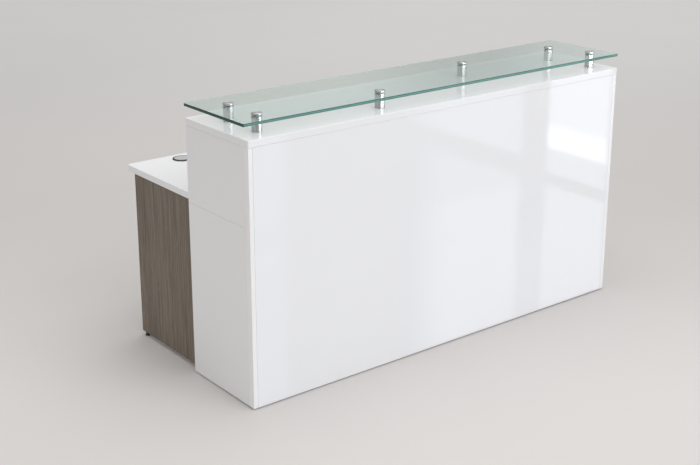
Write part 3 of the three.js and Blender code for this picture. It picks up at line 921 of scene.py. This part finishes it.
class DESK_OT_stage(bpy.types.Operator):
    """Lays the floor, hangs the lamps and sets the camera"""

    bl_idname = "desk.stage"
    bl_label = "Studio"

    def execute(self, context):
        stage = context.scene.desk_stage
        context.scene.view_settings.view_transform = "Standard"
        self.lay_floor(stage)
        self.light_room(context.scene, stage)
        self.hang_lamp("key_lamp", stage.key, (3.2, 3.0), (0.5, -4.6, 4.0), (0.0, -0.2, 0.6))
        self.hang_lamp("top_lamp", stage.top, (5.0, 4.0), (0.3, 0.9, 4.6), (0.3, 0.9, 0.0))
        self.stand_windows()
        self.hang_dark_reflection_card()
        self.hang_bright_sheet(stage)
        self.set_camera(context.scene, stage)
        return {"FINISHED"}

    @staticmethod
    def lay_floor(stage):
        shape = bmesh.new()
        bmesh.ops.create_circle(shape, cap_ends=True, segments=96, radius=40)
        mesh = bpy.data.meshes.new("floor")
        shape.to_mesh(mesh)
        shape.free()
        shader = Shader(bpy.data.materials.new("pale_floor"))
        place = shader.place()
        cloud = shader.noise(place, 0.9, 4, 0.55)
        speck = shader.noise(place, 260.0, 3, 0.6)
        tint = shader.mix(cloud, shade(stage.floor, 0.98), shade(stage.floor, 1.02))
        tint = shader.mix(speck * 0.1, tint, shade(stage.floor, 0.9))
        # Painted light and shade on the floor by position: painted shade on the far side of the
        # desk and at its near right, painted light farther off and far to the right, and a cooler
        # tint farther off.
        x, y = shader.part(place, "X"), shader.part(place, "Y")
        back = x * AWAY[0] + y * AWAY[1]
        right = x * AWAY[1] - y * AWAY[0]
        painted_shade_beyond = shader.step(back, -1.4, 1.7) * 0.165
        painted_light_far_off = shader.step(back, 0.6, 8.5) * 0.3
        near = 1 - shader.step(back, -1.0, 1.5)
        painted_shade_near_right = near * shader.step(right, -0.6, 1.0) * 0.03
        glow = shader.step(back, 2.0, 6.0) * (shader.step(right, -3.0, 1.0) * 0.07 - 0.02)
        tone = (1.01 - painted_shade_beyond + painted_light_far_off) * (1 - painted_shade_near_right) * (1 + glow)
        tint = shader.mix(1.0, tint, tone, "MULTIPLY")
        cooler = shader.mix(1.0, tint, (0.985, 1.005, 1.01), "MULTIPLY")
        tint = shader.mix(shader.step(back, 1.0, 5.0), tint, cooler)
        mesh.materials.append(shader.finish(shader.principled(
            Base_Color=tint, Roughness=0.7 + speck * 0.1, Specular_IOR_Level=0.0,
        )))
        floor = bpy.data.objects.new("floor", mesh)
        bpy.context.scene.collection.objects.link(floor)

    @staticmethod
    def light_room(scene, stage):
        world = bpy.data.worlds.new("studio")
        scene.world = world
        shader = Shader(world)
        direction = shader.node("ShaderNodeTexCoord", output="Generated")
        x, y = shader.part(direction, "X"), shader.part(direction, "Y")
        lean = x * 0.42 - y * 0.91
        tint = shader.mix(shader.step(lean, -1, 1), (1.0, 0.969, 0.923), (0.965, 0.99, 1.03))
        tint = shader.mix(1.0, tint, stage.sky + lean * stage.sky_lean, "MULTIPLY")
        # Painted reflection: a dark band in the room that only reflections show.
        gloss = shader.node("ShaderNodeLightPath", output="Is Glossy Ray")
        aside = x * 0.866 + y * 0.5
        gloss_only_dark_band = shader.step(aside, 0.9, 0.94) * (1 - shader.step(aside, 0.943, 0.965) * 0.8)
        tint = shader.mix(gloss * gloss_only_dark_band * 0.36, tint, (0.05, 0.055, 0.055))
        shader.finish(shader.node("ShaderNodeBackground", inputs={"Color": tint, "Strength": 1.0}))

    @staticmethod
    def hang_lamp(name, power, size, place, aim):
        lamp = bpy.data.lights.new(name, "AREA")
        lamp.shape = "RECTANGLE"
        lamp.size, lamp.size_y = size
        lamp.energy = power
        holder = bpy.data.objects.new(name, lamp)
        holder.location = place
        holder.rotation_euler = (Vector(aim) - Vector(place)).to_track_quat("-Z", "Y").to_euler()
        holder.visible_camera = False
        bpy.context.scene.collection.objects.link(holder)

    @staticmethod
    def stand_windows():
        """Bright panes to the visitor's right and their light on the floor, for gloss alone."""
        faces = []
        for near, far, sill in WINDOW_PANES:
            levels = ((near, sill), (far, sill), (far, WINDOW_TOP), (near, WINDOW_TOP))
            faces.append([(WINDOW_WALL, side, level) for side, level in levels])
        for sides in WINDOW_SHEETS:
            starts = [Vector((WINDOW_WALL, side)) for side in sides]
            ends = []
            for start in starts:
                run = MIRRORED_EYE - start
                ends.append(start + run * ((SHEET_END - start.y) / run.y))
            faces.append([(*corner, SHEET_LEVEL) for corner in (*starts, *reversed(ends))])
        shader = Shader(bpy.data.materials.new("window_light"))
        place = shader.place()
        x, y, height = (shader.part(place, axis) for axis in "XYZ")
        foot = 1 - shader.step(height, 0.215, 0.255)
        sun = (1 - foot) * (1 - shader.step(height, 0.33, 0.41))
        upright = shader.step(height, 0.03, 0.07)
        nearest = shader.step(y, -1.93, -1.86)
        faded = (1 - shader.step(x + y * 0.8, -0.92, -0.82)) * shader.step(y, -2.6, -1.4)
        bearing = (x - MIRRORED_EYE.x) / (MIRRORED_EYE.y - y)
        soft = shader.step(bearing, 0.864, 0.935) + (1 - shader.step(bearing, 0.74, 0.76))
        post = shader.step(bearing, 1.04, 1.055) * (1 - shader.step(bearing, 1.087, 1.10))
        by_panel = shader.step(y, -1.6, -0.8)
        lit = soft * (1 - post * (1 - by_panel * 0.35))
        pane = ROOM_GLOW + soft * (PANE_GLOW - ROOM_GLOW) + nearest * (1.4 + sun * 1.6 - foot * 1.2)
        sheet = FLOOR_GLOW + lit * (SHEET_GLOW - FLOOR_GLOW + nearest * 0.45 - faded * 0.7)
        glow = upright * pane + (1 - upright) * sheet
        light = shader.finish(shader.node("ShaderNodeEmission", inputs={
            "Color": shader.mix(1.0, (0.95, 0.985, 1.09), glow, "MULTIPLY"), "Strength": 1.0,
        }))
        show_in_gloss_only("window_panes", faces, light)

    @staticmethod
    def hang_dark_reflection_card():
        """A dark card before the camera that only reflections show, a painted dark reflection which
        gives the bright metal its dark band.
        """
        shader = Shader(bpy.data.materials.new("dark_cloth"))
        card_texture = shader.noise(shader.place(), 300.0, 2, 0.5)
        tint = shader.mix(card_texture, (0.012, 0.012, 0.013), (0.03, 0.03, 0.032))
        dark_card_finish = shader.finish(shader.principled(Base_Color=tint, Roughness=0.9))
        show_in_gloss_only("dark_cloth", [upright_card(-3.2, -0.6, -1.4, 0.02, 1.3)], dark_card_finish)

    @staticmethod
    def hang_bright_sheet(stage):
        """A bright sheet in front, for the metal's white stripe, above what the panel mirrors."""
        shader = Shader(bpy.data.materials.new("bright_sheet"))
        light = shader.finish(shader.node("ShaderNodeEmission", inputs={
            "Color": (1.0, 1.0, 1.0, 1.0), "Strength": stage.stripe,
        }))
        show_in_gloss_only("bright_sheet", [upright_card(-0.55, 2.6, -1.5, 0.8, 1.32)], light)

    @staticmethod
    def set_camera(scene, stage):
        camera = bpy.data.cameras.new("camera")
        camera.lens = stage.lens
        camera.sensor_width = 36
        camera.shift_x, camera.shift_y = stage.shift
        camera.clip_end = 200
        holder = bpy.data.objects.new("camera", camera)
        holder.location = stage.place
        holder.rotation_euler = Euler(stage.turn)
        scene.collection.objects.link(holder)
        scene.camera = holder


class DESK_PT_pieces(bpy.types.Panel):
    """Lists the pieces of the reception desk, and what can be changed about them"""

    bl_idname = "DESK_PT_pieces"
    bl_label = "Reception desk"
    bl_space_type = "VIEW_3D"
    bl_region_type = "UI"
    bl_category = "Desk"

    def draw(self, context):
        for operator in OPERATORS:
            self.layout.operator(operator.bl_idname)
        for group_name in GROUPS:
            group = getattr(context.scene, group_name)
            box = self.layout.box()
            for name in group.__annotations__:
                box.prop(group, name)


GROUPS = {"desk_finishes": DeskFinishes, "desk_fittings": DeskFittings, "desk_stage": DeskStage}
OPERATORS = (
    DESK_OT_boards, DESK_OT_glass_shelf, DESK_OT_standoffs, DESK_OT_cable_outlets,
    DESK_OT_levelling_feet, DESK_OT_brackets, DESK_OT_stage,
)


def register():
    for kind in (*GROUPS.values(), *OPERATORS, DESK_PT_pieces):
        bpy.utils.register_class(kind)
    for name, group in GROUPS.items():
        setattr(bpy.types.Scene, name, PointerProperty(type=group))


def unregister():
    for name in GROUPS:
        delattr(bpy.types.Scene, name)
    for kind in reversed((*GROUPS.values(), *OPERATORS, DESK_PT_pieces)):
        bpy.utils.unregister_class(kind)


def main():
    register()
    bpy.ops.desk.boards()
    bpy.ops.desk.glass_shelf()
    bpy.ops.desk.standoffs()
    bpy.ops.desk.cable_outlets()
    bpy.ops.desk.levelling_feet()
    bpy.ops.desk.brackets()
    bpy.ops.desk.stage()


if __name__ == "__main__":
    main()
